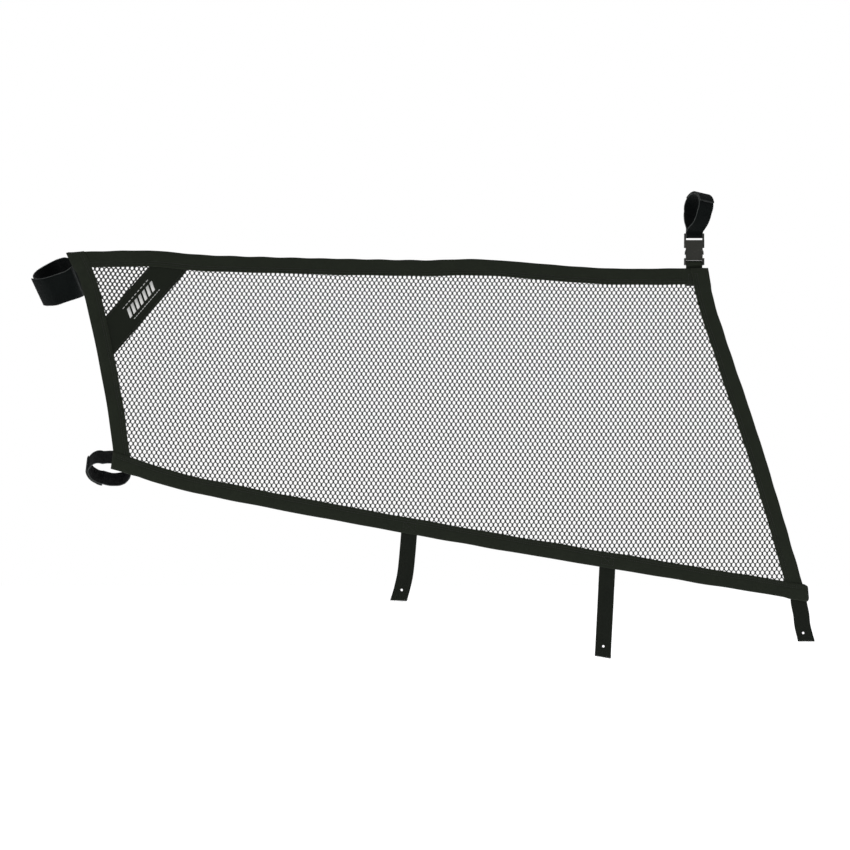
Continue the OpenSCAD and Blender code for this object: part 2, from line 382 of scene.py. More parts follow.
def cloth(name, mid, half, material, rim=1.0, ends=0.6):
    """A thick sheet of webbing about a grid of points (along, across, xyz), with round edges.
    rim and ends say how pale its long edges and its cut ends are, worn and with a painted sheen."""
    mid = np.asarray(mid, float)
    rows, columns = mid.shape[:2]
    normal = normals_of(mid)
    out_low = unit(mid[:, 0] - mid[:, 1])
    out_high = unit(mid[:, -1] - mid[:, -2])
    across, along = run_along(mid[rows // 2]), run_along(mid[:, columns // 2])
    ring, lanes, marks = [], [], []

    def lane(points, v, mark):
        ring.append(points)
        lanes.append(v)
        marks.append(mark)

    def round_edge(k, out, angles, v):
        for angle in angles:
            c, s = math.cos(math.radians(angle)), math.sin(math.radians(angle))
            lane(mid[:, k] + half * (s * normal[:, k] + c * out), v, rim)

    for k in range(columns):
        lane(mid[:, k] + half * normal[:, k], across[k], 0)
    round_edge(-1, out_high, (45, 0, -45), across[-1] + half)
    for k in reversed(range(columns)):
        lane(mid[:, k] - half * normal[:, k], across[k], 0)
    round_edge(0, out_low, (-45, 0, 45), across[0] - half)
    ring = np.stack(ring, axis=1)
    count = ring.shape[1]
    index = np.arange(rows * count).reshape(rows, count)
    nxt = np.roll(index, -1, axis=1)
    sides = np.stack([index[:-1], index[1:], nxt[1:], nxt[:-1]], axis=-1).reshape(-1, 4)
    top, low = list(range(columns)), [2 * columns + 2 - k for k in range(columns)]
    faces = sides.tolist()
    for row, turn in ((0, 1), (rows - 1, -1)):
        at = index[row]
        for k in range(columns - 1):
            faces.append([int(at[i]) for i in (top[k], top[k + 1], low[k + 1], low[k])][::turn])
        for first, last in ((columns - 1, columns + 3), (2 * columns + 2, 2 * columns + 6)):
            faces.append([int(at[i % count]) for i in range(first, last + 1)][::turn])
    uv = np.stack([np.repeat(along[:, None], count, 1),
                   np.repeat(np.array(lanes)[None, :], rows, 0)], axis=-1).reshape(-1, 2)
    # how pale the long edges and the cut ends are drawn: worn, with a painted sheen
    mark = np.repeat(np.array(marks, float)[None, :], rows, 0)
    mark[0], mark[-1] = np.maximum(mark[0], ends), np.maximum(mark[-1], ends)
    return add_mesh(name, ring.reshape(-1, 3), faces, material, uv, mark.ravel())


def slot_and_replace(obj, replaces):
    if replaces:
        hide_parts(*replaces)
    return obj


def finish_piece(obj, body, material_slot, replaces=()):
    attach(obj, body)
    return slot_and_replace(obj, replaces)


def bend_piece(obj, first, second, start, end, material_slot, replaces=()):
    """Bakes the piece's place into its points and hides the parts that it replaces. The first and
    second bodies and the two points in millimetres are not used.
    """
    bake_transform(obj)
    return slot_and_replace(obj, replaces)


def sewn(obj):
    """Thread, or any other webbing that stays with the net."""
    return finish_piece(obj, "net", "webbing")


def resample(points, step):
    """The same open line with evenly spaced points."""
    points = np.asarray(points, float)
    length = run_along(points)
    wanted = np.linspace(0, length[-1], max(3, int(round(length[-1] / step)) + 1))
    return np.stack([np.interp(wanted, length, points[:, k]) for k in range(points.shape[1])], 1)


def curve_through(points, step, share=0.5):
    """A smooth line through points (Catmull-Rom), evenly spaced."""
    p = np.asarray(points, float)
    p = np.vstack([2 * p[0] - p[1], p, 2 * p[-1] - p[-2]])
    out = []
    for k in range(1, len(p) - 2):
        t = np.linspace(0, 1, 24, endpoint=False)[:, None]
        a, b, c, d = p[k - 1], p[k], p[k + 1], p[k + 2]
        out.append(b + share * (c - a) * t + (2 * share * a + (share - 3) * b
                   + (3 - 2 * share) * c - share * d) * t ** 2
                   + (-share * a + (2 - share) * b + (share - 2) * c + share * d) * t ** 3)
    out.append(p[-2][None])
    return resample(np.vstack(out), step)


STITCH_RINGS = ((0.0, 0.14, -0.25), (0.14, 0.27, 0.02), (0.5, 0.31, 0.16), (0.86, 0.27, 0.02),
                (1.0, 0.14, -0.25))  # share of the length, radius, height
STITCH_SIDES = 6


def stitches(name, line, normal, pitch=3.3, length=2.7):
    """Lockstitches along a line (n, 3) on a surface, as one object."""
    line, normal = np.asarray(line, float), np.asarray(normal, float)
    run = run_along(line)
    count = max(1, int(run[-1] / pitch))
    starts = (np.arange(count) + 0.5) * run[-1] / count - length / 2
    source = random.Random(len(name))
    points, faces = [], []
    for begin in starts:
        a, b = point_at(line, run, begin), point_at(line, run, begin + length)
        up = unit(point_at(normal, run, begin + length / 2))
        ahead = b - a
        side = unit(np.cross(up, ahead))
        drift = side * source.uniform(-0.12, 0.12)
        base = len(points)
        for share, radius, height in STITCH_RINGS:
            centre = a + ahead * share + up * height + drift
            for k in range(STITCH_SIDES):
                w = 2 * math.pi * k / STITCH_SIDES
                points.append(centre + radius * (math.cos(w) * side + math.sin(w) * up))
        for r in range(len(STITCH_RINGS) - 1):
            for k in range(STITCH_SIDES):
                i, j = (base + r * STITCH_SIDES + m for m in (k, (k + 1) % STITCH_SIDES))
                faces.append([i, i + STITCH_SIDES, j + STITCH_SIDES, j])
        last = base + (len(STITCH_RINGS) - 1) * STITCH_SIDES
        faces.append([base + k for k in range(STITCH_SIDES)])
        faces.append([last + k for k in reversed(range(STITCH_SIDES))])
    return add_mesh(name, np.array(points), faces, THREAD)


# ---------------------------------------------------------------- outline of the net
def outline_of_net():
    """The net's own outline (x, z), clockwise from the front upper corner, from its CAD node."""
    mesh = frame["nodes"]["mesh_panel"].data
    pts = {(round(v.co.x * 1000 - CORNER[0], 2), round(v.co.z * 1000 - CORNER[2], 2))
           for v in mesh.vertices}
    pts = np.array(sorted(pts))
    centre = pts.mean(0)
    order = np.argsort(-np.arctan2(*(pts - centre).T[::-1]))
    pts = pts[order]
    return np.roll(pts, -int(np.argmin(pts[:, 0] - pts[:, 1])), axis=0)


def outward(d):
    return np.stack([-d[..., 1], d[..., 0]], -1) / np.linalg.norm(d, axis=-1, keepdims=True)


def inset(pts, w):
    """A closed clockwise outline moved inward by w, with mitred corners."""
    before, after = pts - np.roll(pts, 1, 0), np.roll(pts, -1, 0) - pts
    a, b = outward(before), outward(after)
    return pts - w * (a + b) / (1 + (a * b).sum(-1, keepdims=True))


BORDER = 25.4
FOLD_GAP = 4  # depth that the net stops short of the fold
net_outline = outline_of_net()
outline = inset(net_outline, -FOLD_GAP)


def turn_at(k):
    a = outline[k] - outline[k - 1]
    b = outline[(k + 1) % len(outline)] - outline[k]
    return math.degrees(math.acos(np.clip((unit(a) * unit(b)).sum(), -1, 1)))


sharpest = sorted(sorted(range(len(outline)), key=turn_at)[-4:])
front_edge = [k % len(outline) for k in range(sharpest[3], sharpest[0] + len(outline) + 1)]
# hung from its straps, the soft front edge draws in a little, most at its lower end
outline[front_edge, 0] += np.interp(np.linspace(0, 1, len(front_edge)), [0, 0.33, 1],
                                    [5, 1.5, 0.8])
EDGES = {}
for name, first, last in zip(("top", "rear", "bottom", "front"), sharpest,
                             sharpest[1:] + [sharpest[0] + len(outline)]):
    EDGES[name] = outline[[k % len(outline) for k in range(first, last + 1)]]


# ---------------------------------------------------------------- mesh of the net
PITCH_ACROSS, PITCH_DOWN = 7.6, 5.66  # between holes in a row, and between rows
HOLE = (2.52, 3.04)  # half width and half height
KNOT = 1.5  # half height of the pillar between two holes
RIDGE, SHOULDER, SHOULDER_AT = 0.62, 0.47, 0.62  # relief of the strands
LEAN_FRONT, LEAN_REAR = 5.0, -1.0  # degrees, of the rows, at the net's two ends
FIELD_WIDE, FIELD_DEEP, SPARE = 1420, 680, 16  # of the lattice before cutting; spare cells
FIRST_HOLE = FOLD_GAP + 4  # least depth of a hole's middle inside the outline
BILLOW = 2.5
STRIPS = 8
GUSSET_AT, GUSSET_SLOPE, GUSSET_WIDE = (121, -80), math.radians(49), 50.8
slope_sin, slope_cos = math.sin(GUSSET_SLOPE), math.cos(GUSSET_SLOPE)


def gusset_axes(x, z):
    """Distances along and across the corner gusset."""
    dx, dz = np.asarray(x) - GUSSET_AT[0], np.asarray(z) - GUSSET_AT[1]
    return dx * slope_cos + dz * slope_sin, dz * slope_cos - dx * slope_sin


def gusset_xz(along, across):
    """The point at those distances."""
    return (GUSSET_AT[0] + along * slope_cos - across * slope_sin,
            GUSSET_AT[1] + along * slope_sin + across * slope_cos)


def billow(x, z):
    """The net stands off its plane a little in the middle, and ripples near its edges."""
    u = np.clip((x - net_outline[:, 0].min()) / np.ptp(net_outline[:, 0]), 0, 1)
    depth = np.clip(border_depth(x, z) / 90, 0, 1)
    return smooth(depth) * (BILLOW * np.sin(u * math.pi) + 0.6 * wobble(x + 0.4 * z, 3, 210)
                            + 0.35 * wobble(z - 0.3 * x, 4, 120))


def border_depth(x, z):
    """How far a point lies inside the outline, or minus its distance outside."""
    best = np.full(np.shape(x), 1e18)
    inside = np.zeros(np.shape(x), bool)
    for a, b in zip(outline, np.roll(outline, -1, 0)):
        dx, dz = b - a
        share = np.clip(((x - a[0]) * dx + (z - a[1]) * dz) / (dx * dx + dz * dz), 0, 1)
        best = np.minimum(best, (x - a[0] - share * dx) ** 2 + (z - a[1] - share * dz) ** 2)
        if dz:
            crossed = (a[1] > z) != (b[1] > z)
            inside ^= crossed & (x < a[0] + dx * (z - a[1]) / dz)
    return np.sqrt(best) * np.where(inside, 1, -1)


def lattice_to_net(u, v):
    """Rows of holes lean down to the rear at the front end and up at the rear end."""
    long = outline[:, 0].max()
    lean0, lean1 = math.radians(LEAN_FRONT), math.radians(LEAN_REAR)
    lean = lean0 + (lean1 - lean0) * u / long
    drop = lean0 * u + (lean1 - lean0) * u * u / (2 * long)
    x = u - lean * v + 0.5 * wobble(v, 11, 160)
    z = -v * (1 + 0.00012 * v) - drop + 0.8 * wobble(u, 12, 260)
    return x, z


def cell_rims():
    """Round one hole: the cell's hexagonal border and the hole itself, point by point."""
    half, crown = PITCH_ACROSS / 2, PITCH_DOWN - KNOT
    quarter = [(0, crown), (half / 2, (crown + KNOT) / 2), (half, KNOT), (half, 0)]
    border = np.array(quarter + [(a, -b) for a, b in quarter[2::-1]]
                      + [(-a, -b) for a, b in quarter[1:]] + [(-a, b) for a, b in quarter[2:0:-1]])
    turn = math.pi / 2 - 2 * math.pi * np.arange(len(border)) / len(border)
    return border, np.stack([HOLE[0] * np.cos(turn), HOLE[1] * np.sin(turn)], 1)


def ring_faces(outer, inner):
    return np.stack([outer, np.roll(outer, -1, 1), np.roll(inner, -1, 1), inner],
                    -1).reshape(-1, 4)


def quad_mesh(name, points, faces):
    """A mesh of many quads, made quickly."""
    mesh = bpy.data.meshes.new(name)
    mesh.vertices.add(len(points))
    mesh.vertices.foreach_set("co", metres(points).astype(np.float32).ravel())
    mesh.loops.add(faces.size)
    mesh.loops.foreach_set("vertex_index", faces.astype(np.int32).ravel())
    mesh.polygons.add(len(faces))
    mesh.polygons.foreach_set("loop_start", np.arange(0, faces.size, 4, dtype=np.int32))
    mesh.update(calc_edges=True)
    mesh.materials.append(MESH)
    mesh.polygons.foreach_set("use_smooth", np.ones(len(faces), bool))
    mesh.set_sharp_from_angle(angle=math.radians(70))
    return new_object(name, mesh)


def strip_of_cells(u, v, shrink):
    """Points and quads of the strands round the holes at u, v: a ridge where cells meet, then
    a shoulder, then the hole's rim. Neighbours share their border points."""
    border, rim = cell_rims()
    cells, sides = len(u), len(border)

    def place(ring):
        return np.stack([u[:, None] + ring[..., 0], v[:, None] - ring[..., 1]],
                        -1).reshape(-1, 2)

    key, inverse = np.unique(np.round(place(border), 3), axis=0, return_inverse=True)
    inverse = inverse.reshape(cells, sides)
    corners, n_ring = len(key), cells * sides
    hole = shrink[:, None, None] * rim
    flat = np.vstack([key, place(border + SHOULDER_AT * (hole - border)), place(hole)])
    x, z = lattice_to_net(*flat.T)
    b_xyz, s_xyz, r_xyz = np.split(grid_of(x, billow(x, z), z), [corners, corners + n_ring])
    rise = np.array([0, 1, 0])
    points = np.vstack([b_xyz - RIDGE * rise, b_xyz + RIDGE * rise,
                        s_xyz - SHOULDER * rise, s_xyz + SHOULDER * rise, r_xyz])
    local = np.arange(n_ring).reshape(cells, sides) + 2 * corners
    front_b, back_b = inverse, inverse + corners
    front_s, back_s, middle = local, local + n_ring, local + 2 * n_ring
    faces = [ring_faces(front_b, front_s), ring_faces(front_s, middle),
             ring_faces(middle, back_s), ring_faces(back_s, back_b)]
    a, b = inverse.ravel(), np.roll(inverse, -1, 1).ravel()
    pair = np.stack([np.minimum(a, b), np.maximum(a, b)], 1)
    _, where, times = np.unique(pair, axis=0, return_index=True, return_counts=True)
    lone = where[times == 1]  # cut edges of the strip, closed from front to back
    faces.append(np.stack([b[lone], a[lone], a[lone] + corners, b[lone] + corners], -1))
    return points, np.vstack(faces)


def net_strips():
    columns, rows = int(FIELD_WIDE / PITCH_ACROSS), int(FIELD_DEEP / PITCH_DOWN)
    i, j = np.meshgrid(np.arange(-SPARE, columns), np.arange(-SPARE, rows), indexing="ij")
    i, j = i.ravel(), j.ravel()
    cu, cv = (i + 0.5 * (j % 2)) * PITCH_ACROSS, j * PITCH_DOWN
    keep = border_depth(*lattice_to_net(cu, cv)) > FIRST_HOLE
    i, cu, cv = i[keep], cu[keep], cv[keep]
    # holes are a little smaller in the corner ahead of the gusset
    ahead = gusset_axes(*lattice_to_net(cu, cv))[1] - GUSSET_WIDE / 2
    shrink = 1 - 0.1 * smooth((ahead + 8) / 8)
    first, last = i.min(), i.max()
    for strip in range(STRIPS):
        mine = ((i - first) * STRIPS // (last - first + 1)) == strip
        points, faces = strip_of_cells(cu[mine], cv[mine], shrink[mine])
        obj = quad_mesh(f"net_strip_{strip + 1}", points, faces)
        finish_piece(obj, "net", "mesh", ["mesh_panel"] if strip == 0 else ())


net_strips()

# ---------------------------------------------------------------- folded borders
LEAF = 1.25  # of the middle of each leaf from the net's plane
WEB_HALF = 0.65
THREAD_OFF = 0.02  # of the thread's path from the webbing's face
FOLD_ARC = math.pi / 2 * LEAF
SEAM, SEAM_2 = 21.9, 18.6  # stitch rows' distances from the fold
GROOVE, GROOVE_WIDE = 0.3, 0.75  # pressed into the webbing by a row
LIFT_RAMP = 14  # length over which a covering end comes down again
BORDER_LANES = [24.2, SEAM + 1.6, SEAM + 0.8, SEAM, SEAM - 0.9, SEAM_2 + 0.8, SEAM_2,
                SEAM_2 - 0.9, 15, 11, 8, 5.5, 3.6, FOLD_ARC, 1.3, 0.65]


def beyond_ends(values, run, at):
    """values along run, carried on straight past both ends."""
    total = run[-1]
    slope_a = (values[1] - values[0]) / (run[1] - run[0])
    slope_b = (values[-1] - values[-2]) / (run[-1] - run[-2])
    return np.where(at < 0, values[0] + slope_a * at,
                    np.where(at > total, values[-1] + slope_b * (at - total),
                             np.interp(at, run, values)))


def border(name, over, trims, ends, extra=None, round_start=0.01):
    """One folded webbing. over gives the lift at its two ends, where it covers another.
    trims pull the ends in, ends are the directions of their cuts, and round_start is the
    radius of the first end's corners."""
    edge = EDGES[name]
    line = curve_through(edge, 4.0)
    tangent = unit(np.gradient(line, axis=0))
    inward = -outward(tangent)
    run = run_along(line)
    total = run[-1]
    half_folded = BORDER - LEAF + FOLD_ARC
    v = np.array([half_folded] + BORDER_LANES)
    v = np.concatenate([-v, [0], v[::-1]])
    round_fold = np.clip(np.abs(v) / LEAF, 0, math.pi / 2)
    on_leaf = np.abs(v) > FOLD_ARC
    depth = np.where(on_leaf, np.abs(v) - FOLD_ARC + LEAF, LEAF - LEAF * np.cos(round_fold))
    y = np.sign(v) * np.where(on_leaf, LEAF, LEAF * np.sin(round_fold))
    slants = [float((e * t).sum() / (e * n).sum()) for e, t, n in
              ((np.array(ends[k], float), tangent[-k], inward[-k]) for k in (0, 1))]
    share = np.linspace(0, 1, len(line))[:, None]
    corner = np.maximum(round_start - np.minimum(depth, BORDER - depth), 0)
    rounding = round_start - np.sqrt(np.maximum(round_start ** 2 - corner ** 2, 0))
    start = trims[0] + depth[None] * slants[0] + rounding[None]
    stop = total - trims[1] + depth[None] * slants[1]
    s = start + share * (stop - start)
    inner_wave = 0.45 * wobble(s, len(name) * 3, 130) * smooth(depth[None] / BORDER)
    outer_wave = 0.35 * wobble(s, len(name) * 5, 90) * (1 - smooth(depth[None] / BORDER))
    d = depth[None] + inner_wave + outer_wave
    lift = over[0] * (1 - smooth((s - BORDER - 1) / LIFT_RAMP)) + \
        over[1] * (1 - smooth((total - s - BORDER - 1) / LIFT_RAMP))
    px, pz = (beyond_ends(line[:, k], run, s) for k in (0, 1))
    nx, nz = (np.interp(s, run, inward[:, k]) for k in (0, 1))
    outer = 1 - smooth(depth[None] / 6)
    x, z = px + nx * (d - lift * outer), pz + nz * (d - lift * outer)
    side = np.sign(y)[None]
    pucker = 0.22 * wobble(s, 31 + len(name), 23) + 0.12 * wobble(s + 3 * side, 37, 9)
    groove = sum(-GROOVE * np.exp(-((np.abs(v)[None] - row) / GROOVE_WIDE) ** 2)
                 for row in (SEAM, SEAM_2))
    free = smooth((depth[None] - 2) / 6)
    yy = y[None] + side * (lift * smooth(np.abs(y)[None] / LEAF) + free * (pucker * 0.6 + 0.15)
                           + groove)
    if extra is not None:
        yy = yy + extra(x, z, side)
    mid = grid_of(x, yy, z)
    obj = cloth(name + "_border", mid, WEB_HALF, WEB)
    finish_piece(obj, "net", "webbing", [name + "_binding"])
    normal = normals_of(mid)
    for tag, leaf in (("front", -1), ("back", 1)):
        for number, row in enumerate((SEAM, SEAM_2)):
            k = int(np.argmin(np.abs(v - leaf * row)))
            out = normal[2:-2, k] * np.sign(normal[2:-2, k, 1:2]) * leaf
            sewn(stitches(f"{name}_thread_{tag}_{number + 1}",
                          mid[2:-2, k] + out * (WEB_HALF + THREAD_OFF), out))


def over_gusset(x, z, side):
    """The front leaf rides over the gusset's ends."""
    _, across = gusset_axes(x, z)
    return np.where(side < 0, -1.75 * (1 - smooth((np.abs(across) - GUSSET_WIDE / 2 - 2) / 7))
                    * smooth((border_depth(x, z) - 3) / 5), 0)


def edge_direction(name, end):
    e = EDGES[name]
    d = e[1] - e[0] if end == 0 else e[-2] - e[-1]
    return d / np.linalg.norm(d)


OVER = 1.5
border("top", (0, 0), (1.6, 1.6), (edge_direction("front", 1), edge_direction("rear", 0)),
       over_gusset)
border("front", (0, OVER), (1.2, 0), (edge_direction("bottom", 1), edge_direction("top", 0)),
       over_gusset)
border("rear", (OVER, 0), (0, 1.6), (edge_direction("top", 1), edge_direction("bottom", 0)))
border("bottom", (OVER, OVER), (-2.8, -7.5), ((-0.08, 1), (0.12, 1)), round_start=4.5)


# ---------------------------------------------------------------- corner gusset and its print
GUSSET_Y = -1.45
GUSSET_FRONT = -98  # where its lower cut crosses its middle line
GUSSET_TOP = -12
GUSSET_ROW = -GUSSET_WIDE / 2 + 2.6  # of a row of stitches from the middle line
ROW_INSET = (20, 16)  # of its ends from the cuts
front_dir = unit(EDGES["front"][-1] - EDGES["front"][-2])
# each cut is t = a + b * across: the upper one is level, the lower one along the front border
upper_cut = ((GUSSET_TOP - GUSSET_AT[1]) / slope_sin, -slope_cos / slope_sin)
along_front = front_dir[0] * slope_cos + front_dir[1] * slope_sin
across_front = front_dir[1] * slope_cos - front_dir[0] * slope_sin
lower_cut = (GUSSET_FRONT, along_front / across_front)


def gusset_y(t):
    return GUSSET_Y + 0.12 * wobble(t, 51, 60)


def gusset_grid(rows=40, columns=16):
    w = np.linspace(-GUSSET_WIDE / 2, GUSSET_WIDE / 2, columns)
    low, high = (cut[0] + cut[1] * w for cut in (lower_cut, upper_cut))
    t = low + np.linspace(0, 1, rows)[:, None] * (high - low)
    x, z = gusset_xz(t, w[None])
    return grid_of(x, gusset_y(t), z)


gusset = cloth("gusset_web", gusset_grid(), WEB_HALF, GUSSET_WEB)
finish_piece(gusset, "net", "webbing", ["corner_gusset"])
for number, w in enumerate((GUSSET_ROW, -GUSSET_ROW)):
    t = np.linspace(lower_cut[0] + lower_cut[1] * w + ROW_INSET[0],
                    upper_cut[0] + upper_cut[1] * w - ROW_INSET[1], 60)
    x, z = gusset_xz(t, w)
    sewn(stitches(f"gusset_thread_{number + 1}",
                  grid_of(x, gusset_y(t) - WEB_HALF - THREAD_OFF, z),
                  np.tile([0.0, -1.0, 0.0], (len(t), 1))))

PRINT_LONG, PRINT_HIGH, PRINT_MIDDLE = 66, 14, 5
PRINT_BARS, DASHES = 7, (9, 13)
DASH_ROW, DASH_HALF = PRINT_HIGH / 2 + 5.5, 0.5
BAR_LEAN = PRINT_HIGH * 0.28
BAR_SHARE, DASH_SHARE = 0.62, 0.6  # of their pitch that is printed
INK_HALF, INK_THICK = 0.06, 0.3  # mostly sunk in the webbing


def print_mark(name, outline_tw):
    """A thin flat mark on the gusset from its outline in along and across distances."""
    pts = np.array(outline_tw, float)
    x, z = gusset_xz(pts[:, 0], pts[:, 1])
    front = grid_of(x, gusset_y(pts[:, 0]) - WEB_HALF - 2 * INK_HALF, z)
    n = len(pts)
    faces = [list(range(n)), list(range(2 * n - 1, n - 1, -1))]
    faces += [[k, n + k, n + (k + 1) % n, (k + 1) % n] for k in range(n)]
    return add_mesh(name, np.vstack([front, front + [0, INK_THICK, 0]]), faces, INK,
                    np.vstack([pts, pts]))


def select_only(objects):
    """Selects these, with the first one active."""
    bpy.ops.object.select_all(action="DESELECT")
    for o in objects:
        o.select_set(True)
    bpy.context.view_layer.objects.active = objects[0]


def join(objects, name):
    """One object from several."""
    select_only(objects)
    bpy.ops.object.join()
    objects[0].name = name
    return objects[0]


marks = []
print_start = PRINT_MIDDLE - PRINT_LONG / 2
step = PRINT_LONG / PRINT_BARS
for k in range(PRINT_BARS):  # a plain row of slanted bars
    t, h = print_start + k * step, PRINT_HIGH / 2
    end = t + step * BAR_SHARE
    marks.append(print_mark("bar", [(t - BAR_LEAN, -h), (end - BAR_LEAN, -h),
                                    (end + BAR_LEAN, h), (t + BAR_LEAN, h)]))
for w, dashes in zip((DASH_ROW, -DASH_ROW), DASHES):
    for k in range(dashes):
        t = print_start + k * PRINT_LONG / dashes
        end = t + PRINT_LONG / dashes * DASH_SHARE
        low, high = w - DASH_HALF, w + DASH_HALF
        marks.append(print_mark("dash", [(t, low), (end, low), (end, high), (t, high)]))
sewn(join(marks, "gusset_print"))


# ---------------------------------------------------------------- straps: shared shapes
def arc(centre, radius, start, stop, step=4.0):
    """Points of a circular arc, angles in degrees."""
    count = max(4, int(abs(math.radians(stop - start)) * radius / step) + 1)
    w = np.radians(np.linspace(start, stop, count))
    return np.stack([centre[0] + radius * np.cos(w), centre[1] + radius * np.sin(w)], 1)


PILE_HALF, TAIL_HALF = 1.1, 0.95  # half thicknesses as drawn
STRAP_T, TAIL_T = 2.2, 1.9
LAYER_GAP = 0.3
STRAP_WIDE = 50.8
STRAP_LANES, WEB_LANES = 11, 9  # points across a strap and across 1 inch webbing
NET_BACK = 1.9  # of the folded border


FIBRE_ROOT, FIBRE_BEND = 0.11, 0.09  # radii
FUZZ_INSET = 0.3


def add_fibre(points, faces, root, away, rise, length, source):
    """One bent fibre with a pointed tip."""
    ahead = unit(np.cross(away, rise))
    root = root + rise * source.uniform(-0.9, 0.9) * PILE_HALF + away * 0.7
    direction = unit(away + rise * source.uniform(-0.7, 0.7) + ahead * source.uniform(-0.9, 0.9))
    tip = root + direction * length * source.uniform(0.35, 1.0)
    bend = (root + tip) / 2 + rise * source.uniform(-0.25, 0.25)
    base = len(points)
    across = unit(np.cross(direction, rise))
    for centre, radius in ((root, FIBRE_ROOT), (bend, FIBRE_BEND)):
        for k in range(3):
            w = 2 * math.pi * k / 3
            points.append(centre + radius * (math.cos(w) * across + math.sin(w) * rise))
    points.append(tip)
    for k in range(3):
        i, j = base + k, base + (k + 1) % 3
        faces.extend([[i, j, j + 3, i + 3], [i + 3, j + 3, base + 6]])


def fuzz(name, grid, length=1.5, every=1.1, ends=True):
    """Short fibres along the edges of a strap's grid, as one object."""
    source = random.Random(len(name) * 7)
    normal = normals_of(grid)
    points, faces = [], []
    runs = [(grid[:, k], unit(grid[:, k] - grid[:, near]), normal[:, k])
            for k, near in ((0, 1), (-1, -2))]
    if ends:
        runs += [(grid[k], unit(grid[k] - grid[near]), normal[k]) for k, near in ((0, 1), (-1, -2))]
    for line, out, up in runs:
        run = run_along(line)
        for s in np.repeat(np.arange(FUZZ_INSET, run[-1] - FUZZ_INSET, every), 2):
            at = s + source.uniform(-0.5, 0.5)
            root, away, rise = (point_at(a, run, at) for a in (line, out, up))
            add_fibre(points, faces, root, away, rise, length, source)
    return add_mesh(name, np.array(points), faces, FIBRE)


JOINTS = {j["name"]: j for j in frame["record"]["behaviour"]["joints"]}


def joint_at(name):
    """A joint's place in the record, in millimetres from the corner."""
    return local_mm(JOINTS[name]["pos_m"])


def joint_axis(name):
    return np.array(JOINTS[name]["axis"], float)


class Axes:
    """Local axes: x and y span a strap loop's section, z runs across the strap."""

    def __init__(self, origin, x, z):
        self.origin, self.x, self.z = np.array(origin, float), unit(x), unit(z)
        self.y = np.cross(self.z, self.x)

    def at(self, points):
        p = np.asarray(points, float)
        return (self.origin + p[..., :1] * self.x + p[..., 1:2] * self.y + p[..., 2:] * self.z)


def loop_grid(section, across):
    """Grid (along, across, xyz) of a strap that follows a plane section, in local axes."""
    section = np.asarray(section, float)
    return grid_of(section[:, :1], section[:, 1:], np.asarray(across))


def crumple(grid, seed, size):
    """Slight unevenness, so that a strap isn't ruled by a straight edge."""
    normal = normals_of(grid)
    run = np.arange(grid.shape[0])[:, None] * 1.0
    w = np.linspace(-1, 1, grid.shape[1])[None]
    wave = wobble(run, seed, 26) * 0.6 + wobble(run, seed + 1, 17) * w * 0.5
    fade = smooth(np.minimum(run, run[::-1]) / 5)
    return grid + normal * (wave * fade * size)[..., None]


def strap_piece(name, grid, half, place, node, length=1.5, ends=True):
    """A strap and its loose fibres. place is the body that it rides on; given two bodies and two
    points, it is left where it is drawn."""
    strap = cloth(name, grid, half, PILE)
    fibres = fuzz(name.replace("_tail_strap", "_tail") + "_fuzz", grid, length, ends=ends)
    put = finish_piece if len(place) == 1 else bend_piece
    put(strap, *place, "strap", [node])
    put(fibres, *place, "strap")


# ---------------------------------------------------------------- front upper strap and tail
UPPER_R, UPPER_HINGE, UPPER_FOLD = 27.1, 39, 65
UPPER_BEND = 8  # length over which the tail bends at its hinge
LOOP_TILT = math.radians(30)
LOOP_DROOP = 8
FAR_LEAF_RISE = 7
TAIL_RISE = 2.5
SPRING = 0.1  # share by which a tail's free end stands off
upper_z = joint_axis("upper_tail_peel")
upper = Axes(local_mm((0, 0, 0)), np.cross((0, 1, 0), upper_z), upper_z)
root_y = -UPPER_R - STRAP_T + 0.05
fold = arc((UPPER_FOLD, (root_y - UPPER_R) / 2), (root_y + UPPER_R) / -2, -90, 90, 0.6)
section = np.vstack([
    resample([[UPPER_HINGE + 3, root_y], [UPPER_FOLD, root_y]], 3)[:-1], fold,
    resample([[UPPER_FOLD, -UPPER_R], [0, -UPPER_R]], 3)[1:-1],
    arc((0, 0), UPPER_R, 270, 45, 2.4),
    curve_through([[19.2, 19.1], [31, 12.5], [43, 2], [54, -10.8], [62, -20.5], [68, -24.9]],
                  3)[1:]])
across = np.linspace(-0.5, 0.5, STRAP_LANES) * STRAP_WIDE


def tilt_loop(grid):
    """Turns the loop's outer end about its near wall's upper edge."""
    free = smooth((60 - grid[..., 0]) / 34)
    tilt = LOOP_TILT * free
    y, z = grid[..., 1] + UPPER_R, grid[..., 2] - STRAP_WIDE / 2
    return grid_of(grid[..., 0], y * np.cos(tilt) - z * np.sin(tilt) - UPPER_R,
                   z * np.cos(tilt) + y * np.sin(tilt) + STRAP_WIDE / 2 - LOOP_DROOP * free)


grid = tilt_loop(crumple(loop_grid(section, across), 61, 0.5))
beyond = np.arange(len(section)) - np.argmax(section[:, 1])
grid[..., 2] += FAR_LEAF_RISE * smooth((beyond + 3) / 18)[:, None]
grid = upper.at(grid)
strap_piece("upper_strap", grid, PILE_HALF, ["net"], "front_upper_strap",
            ends=False)

